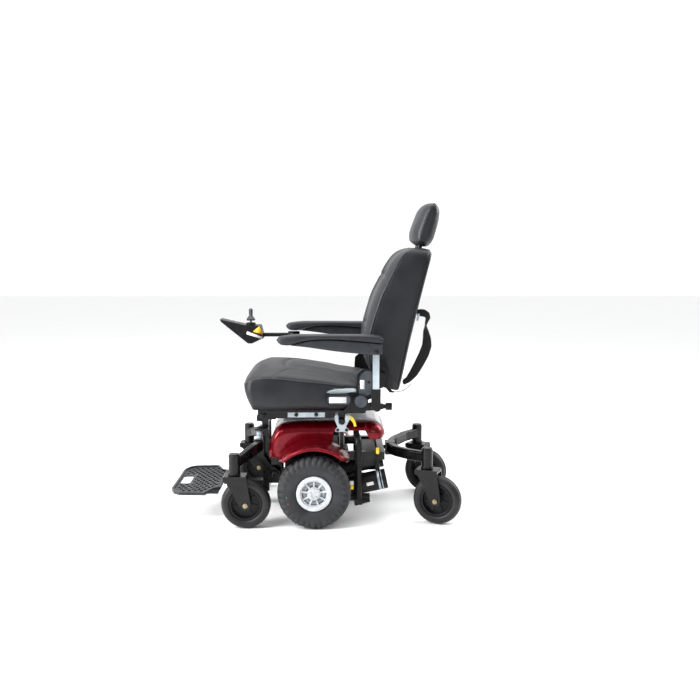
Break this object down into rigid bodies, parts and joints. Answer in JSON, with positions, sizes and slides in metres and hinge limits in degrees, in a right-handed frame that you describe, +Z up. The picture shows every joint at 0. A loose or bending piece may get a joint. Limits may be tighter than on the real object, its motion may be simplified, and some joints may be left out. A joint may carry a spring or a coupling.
{
  "type": "power wheelchair",
  "caption": "Mid-wheel-drive power wheelchair with a cushioned captain's seat, reclining backrest, headrest, flip-up armrests, joystick control, swivel casters and a fold-up footplate.",
  "frame": {"origin": "floor point at the middle of the chair's footprint, midway between the drive wheels", "axes": "+X to the rear, -X is where the occupant faces, +Y is the occupant's right, +Z up"},
  "size_m": [1.0539, 0.618, 1.1448],
  "materials": {
    "black_steel": "semi-gloss black powder coat",
    "bright_steel": "zinc plated, satin",
    "battery_case": "moulded",
    "red_shell": "candy red gloss lacquer",
    "grey_panel": "light metallic grey",
    "motor_black": "painted black casting",
    "moulded_black": "moulded",
    "drive_rubber": "block tread",
    "rim_silver": "bright silver",
    "caster_rubber": "solid tyre",
    "spring_steel": "coiled spring",
    "foot_black": "moulded lattice",
    "seat_vinyl": "dark grey grained vinyl",
    "cover_grey": "moulded, fine texture",
    "webbing": "woven strap",
    "cable": "thin jacket",
    "pad_grey": "skinned foam",
    "pod_black": "moulded",
    "stick_grey": "soft moulded",
    "button_grey": "moulded",
    "lever_yellow": "yellow dipped"
  },
  "bodies": {
    "chassis": {"chassis_frame": "black_steel", "front_mast": "black_steel", "batteries": "battery_case", "shroud": "red_shell", "shroud_top_panel": "grey_panel", "controller_box": "moulded_black", "seat_saddles": "bright_steel", "motor_conduits": "moulded_black", "drive_motor_left": "motor_black", "drive_motor_right": "motor_black"},
    "rear_beam": {"rear_beam": "black_steel"},
    "footplate": {"footplate": "foot_black"},
    "seat": {"seat_frame": "black_steel", "seat_rails": "bright_steel", "seat_cushion": "seat_vinyl", "armrest_uprights": "bright_steel", "recliner_base_cover": "cover_grey"},
    "backrest": {"backrest_cushion": "seat_vinyl", "backrest_rear_cover": "seat_vinyl", "back_frame": "black_steel", "recliner_cover": "cover_grey", "lap_belt": "webbing", "belt_cable": "cable"},
    "recline_lever": {"recline_lever": "cover_grey"},
    "headrest": {"headrest_cushion": "seat_vinyl", "headrest_posts": "bright_steel"},
    "controller": {"controller_pod": "pod_black"},
    "gimbal": {"joystick_gimbal": "bright_steel"},
    "joystick": {"joystick": "stick_grey"},
    "power_button": {"power_button": "button_grey"},
    "horn_button": {"horn_button": "button_grey"},
    "seat_latch": {"seat_latch_lever": "lever_yellow"},
    "drive_wheel_left": {"drive_tyre_left": "drive_rubber", "drive_rim_left": "rim_silver"},
    "front_arm_left": {"front_arm_left": "black_steel", "front_spring_left": "spring_steel"},
    "caster_front_left": {"caster_fork_front_left": "black_steel"},
    "caster_wheel_front_left": {"caster_tyre_front_left": "caster_rubber", "caster_hub_front_left": "moulded_black"},
    "caster_rear_left": {"caster_fork_rear_left": "black_steel"},
    "caster_wheel_rear_left": {"caster_tyre_rear_left": "caster_rubber", "caster_hub_rear_left": "moulded_black"},
    "armrest_left": {"armrest_pad_left": "pad_grey", "armrest_shell_left": "pad_grey"},
    "width_knob_left": {"width_knob_left": "moulded_black"},
    "freewheel_left": {"freewheel_lever_left": "lever_yellow"},
    "drive_wheel_right": {"drive_tyre_right": "drive_rubber", "drive_rim_right": "rim_silver"},
    "front_arm_right": {"front_arm_right": "black_steel", "front_spring_right": "spring_steel"},
    "caster_front_right": {"caster_fork_front_right": "black_steel"},
    "caster_wheel_front_right": {"caster_tyre_front_right": "caster_rubber", "caster_hub_front_right": "moulded_black"},
    "caster_rear_right": {"caster_fork_rear_right": "black_steel"},
    "caster_wheel_rear_right": {"caster_tyre_rear_right": "caster_rubber", "caster_hub_rear_right": "moulded_black"},
    "armrest_right": {"armrest_pad_right": "pad_grey", "armrest_shell_right": "pad_grey"},
    "width_knob_right": {"width_knob_right": "moulded_black"},
    "freewheel_right": {"freewheel_lever_right": "lever_yellow"}
  },
  "joints": [
    {"name": "drive_wheel_left_spin", "type": "hinge", "parent": "chassis", "child": "drive_wheel_left", "pos_m": [0, -0.272, 0.13], "axis": [0, 1, 0], "continuous": true},
    {"name": "front_arm_left_pivot", "type": "hinge", "parent": "chassis", "child": "front_arm_left", "pos_m": [-0.15, -0.094, 0.15], "axis": [0, 1, 0], "range_deg": [-3, 3], "stiffness_Nm_per_rad": 3000, "deforming": ["front_spring_left"]},
    {"name": "caster_front_left_swivel", "type": "hinge", "parent": "front_arm_left", "child": "caster_front_left", "pos_m": [-0.2806, -0.266, 0.19], "axis": [0, 0, 1], "continuous": true},
    {"name": "caster_wheel_front_left_spin", "type": "hinge", "parent": "caster_front_left", "child": "caster_wheel_front_left", "pos_m": [-0.2406, -0.266, 0.0875], "axis": [0, 1, 0], "continuous": true},
    {"name": "caster_rear_left_swivel", "type": "hinge", "parent": "rear_beam", "child": "caster_rear_left", "pos_m": [0.4035, -0.21, 0.19], "axis": [0, 0, 1], "continuous": true},
    {"name": "caster_wheel_rear_left_spin", "type": "hinge", "parent": "caster_rear_left", "child": "caster_wheel_rear_left", "pos_m": [0.44059, -0.22498, 0.0875], "axis": [0.3746, 0.9272, 0], "continuous": true},
    {"name": "armrest_left_flip", "type": "hinge", "parent": "seat", "child": "armrest_left", "pos_m": [0.2175, -0.27, 0.631], "axis": [0, 1, 0], "range_deg": [0, 92]},
    {"name": "width_knob_left_turn", "type": "hinge", "parent": "seat", "child": "width_knob_left", "pos_m": [0.25, -0.246, 0.43], "axis": [1, 0, 0], "continuous": true},
    {"name": "freewheel_left_release", "type": "hinge", "parent": "chassis", "child": "freewheel_left", "pos_m": [0.228, -0.162, 0.19], "axis": [0, 1, 0], "range_deg": [0, 40]},
    {"name": "drive_wheel_right_spin", "type": "hinge", "parent": "chassis", "child": "drive_wheel_right", "pos_m": [0, 0.272, 0.13], "axis": [0, 1, 0], "continuous": true},
    {"name": "front_arm_right_pivot", "type": "hinge", "parent": "chassis", "child": "front_arm_right", "pos_m": [-0.15, 0.094, 0.15], "axis": [0, 1, 0], "range_deg": [-3, 3], "stiffness_Nm_per_rad": 3000, "deforming": ["front_spring_right"]},
    {"name": "caster_front_right_swivel", "type": "hinge", "parent": "front_arm_right", "child": "caster_front_right", "pos_m": [-0.2806, 0.266, 0.19], "axis": [0, 0, 1], "continuous": true},
    {"name": "caster_wheel_front_right_spin", "type": "hinge", "parent": "caster_front_right", "child": "caster_wheel_front_right", "pos_m": [-0.2406, 0.266, 0.0875], "axis": [0, 1, 0], "continuous": true},
    {"name": "caster_rear_right_swivel", "type": "hinge", "parent": "rear_beam", "child": "caster_rear_right", "pos_m": [0.4035, 0.21, 0.19], "axis": [0, 0, 1], "continuous": true},
    {"name": "caster_wheel_rear_right_spin", "type": "hinge", "parent": "caster_rear_right", "child": "caster_wheel_rear_right", "pos_m": [0.43814, 0.19, 0.0875], "axis": [0.5, 0.866, 0], "continuous": true},
    {"name": "armrest_right_flip", "type": "hinge", "parent": "seat", "child": "armrest_right", "pos_m": [0.2175, 0.27, 0.631], "axis": [0, 1, 0], "range_deg": [0, 92]},
    {"name": "width_knob_right_turn", "type": "hinge", "parent": "seat", "child": "width_knob_right", "pos_m": [0.25, 0.246, 0.43], "axis": [1, 0, 0], "continuous": true},
    {"name": "freewheel_right_release", "type": "hinge", "parent": "chassis", "child": "freewheel_right", "pos_m": [0.228, 0.162, 0.19], "axis": [0, 1, 0], "range_deg": [0, 40]},
    {"name": "rear_beam_rock", "type": "hinge", "parent": "chassis", "child": "rear_beam", "pos_m": [0.2815, 0, 0.228], "axis": [1, 0, 0], "range_deg": [-5, 5]},
    {"name": "footplate_flip", "type": "hinge", "parent": "chassis", "child": "footplate", "pos_m": [-0.33, 0, 0.092], "axis": [0, 1, 0], "range_deg": [0, 85]},
    {"name": "seat_tilt", "type": "hinge", "parent": "chassis", "child": "seat", "pos_m": [-0.186, 0, 0.384], "axis": [0, 1, 0], "range_deg": [-45, 0]},
    {"name": "backrest_recline", "type": "hinge", "parent": "seat", "child": "backrest", "pos_m": [0.165, 0, 0.449], "axis": [0, 1, 0], "range_deg": [-60, 25]},
    {"name": "recline_lever_lift", "type": "hinge", "parent": "seat", "child": "recline_lever", "pos_m": [0.165, -0.2485, 0.449], "axis": [0, 1, 0], "range_deg": [0, 18], "stiffness_Nm_per_rad": 3, "springref_deg": -11.46},
    {"name": "headrest_height", "type": "slide", "parent": "backrest", "child": "headrest", "axis": [0.23, 0, 0.9732], "range_m": [0, 0.05]},
    {"name": "controller_reach", "type": "slide", "parent": "armrest_right", "child": "controller", "axis": [1, 0, 0], "range_m": [-0.03, 0.01]},
    {"name": "joystick_pitch", "type": "hinge", "parent": "controller", "child": "gimbal", "pos_m": [-0.269, 0.265, 0.664], "axis": [0, 1, 0], "range_deg": [-18, 18], "stiffness_Nm_per_rad": 0.2},
    {"name": "joystick_roll", "type": "hinge", "parent": "gimbal", "child": "joystick", "pos_m": [-0.269, 0.265, 0.664], "axis": [1, 0, 0], "range_deg": [-18, 18], "stiffness_Nm_per_rad": 0.2},
    {"name": "power_button_press", "type": "slide", "parent": "controller", "child": "power_button", "axis": [0, 0, -1], "range_m": [0, 0.0015], "stiffness_N_per_m": 300, "springref_m": -0.0003},
    {"name": "horn_button_press", "type": "slide", "parent": "controller", "child": "horn_button", "axis": [0, 0, -1], "range_m": [0, 0.0015], "stiffness_N_per_m": 300, "springref_m": -0.0003},
    {"name": "seat_latch_turn", "type": "hinge", "parent": "chassis", "child": "seat_latch", "pos_m": [0.119, -0.178, 0.38], "axis": [0, 1, 0], "range_deg": [0, 30], "stiffness_Nm_per_rad": 0.05, "springref_deg": -17.19}
  ]
}
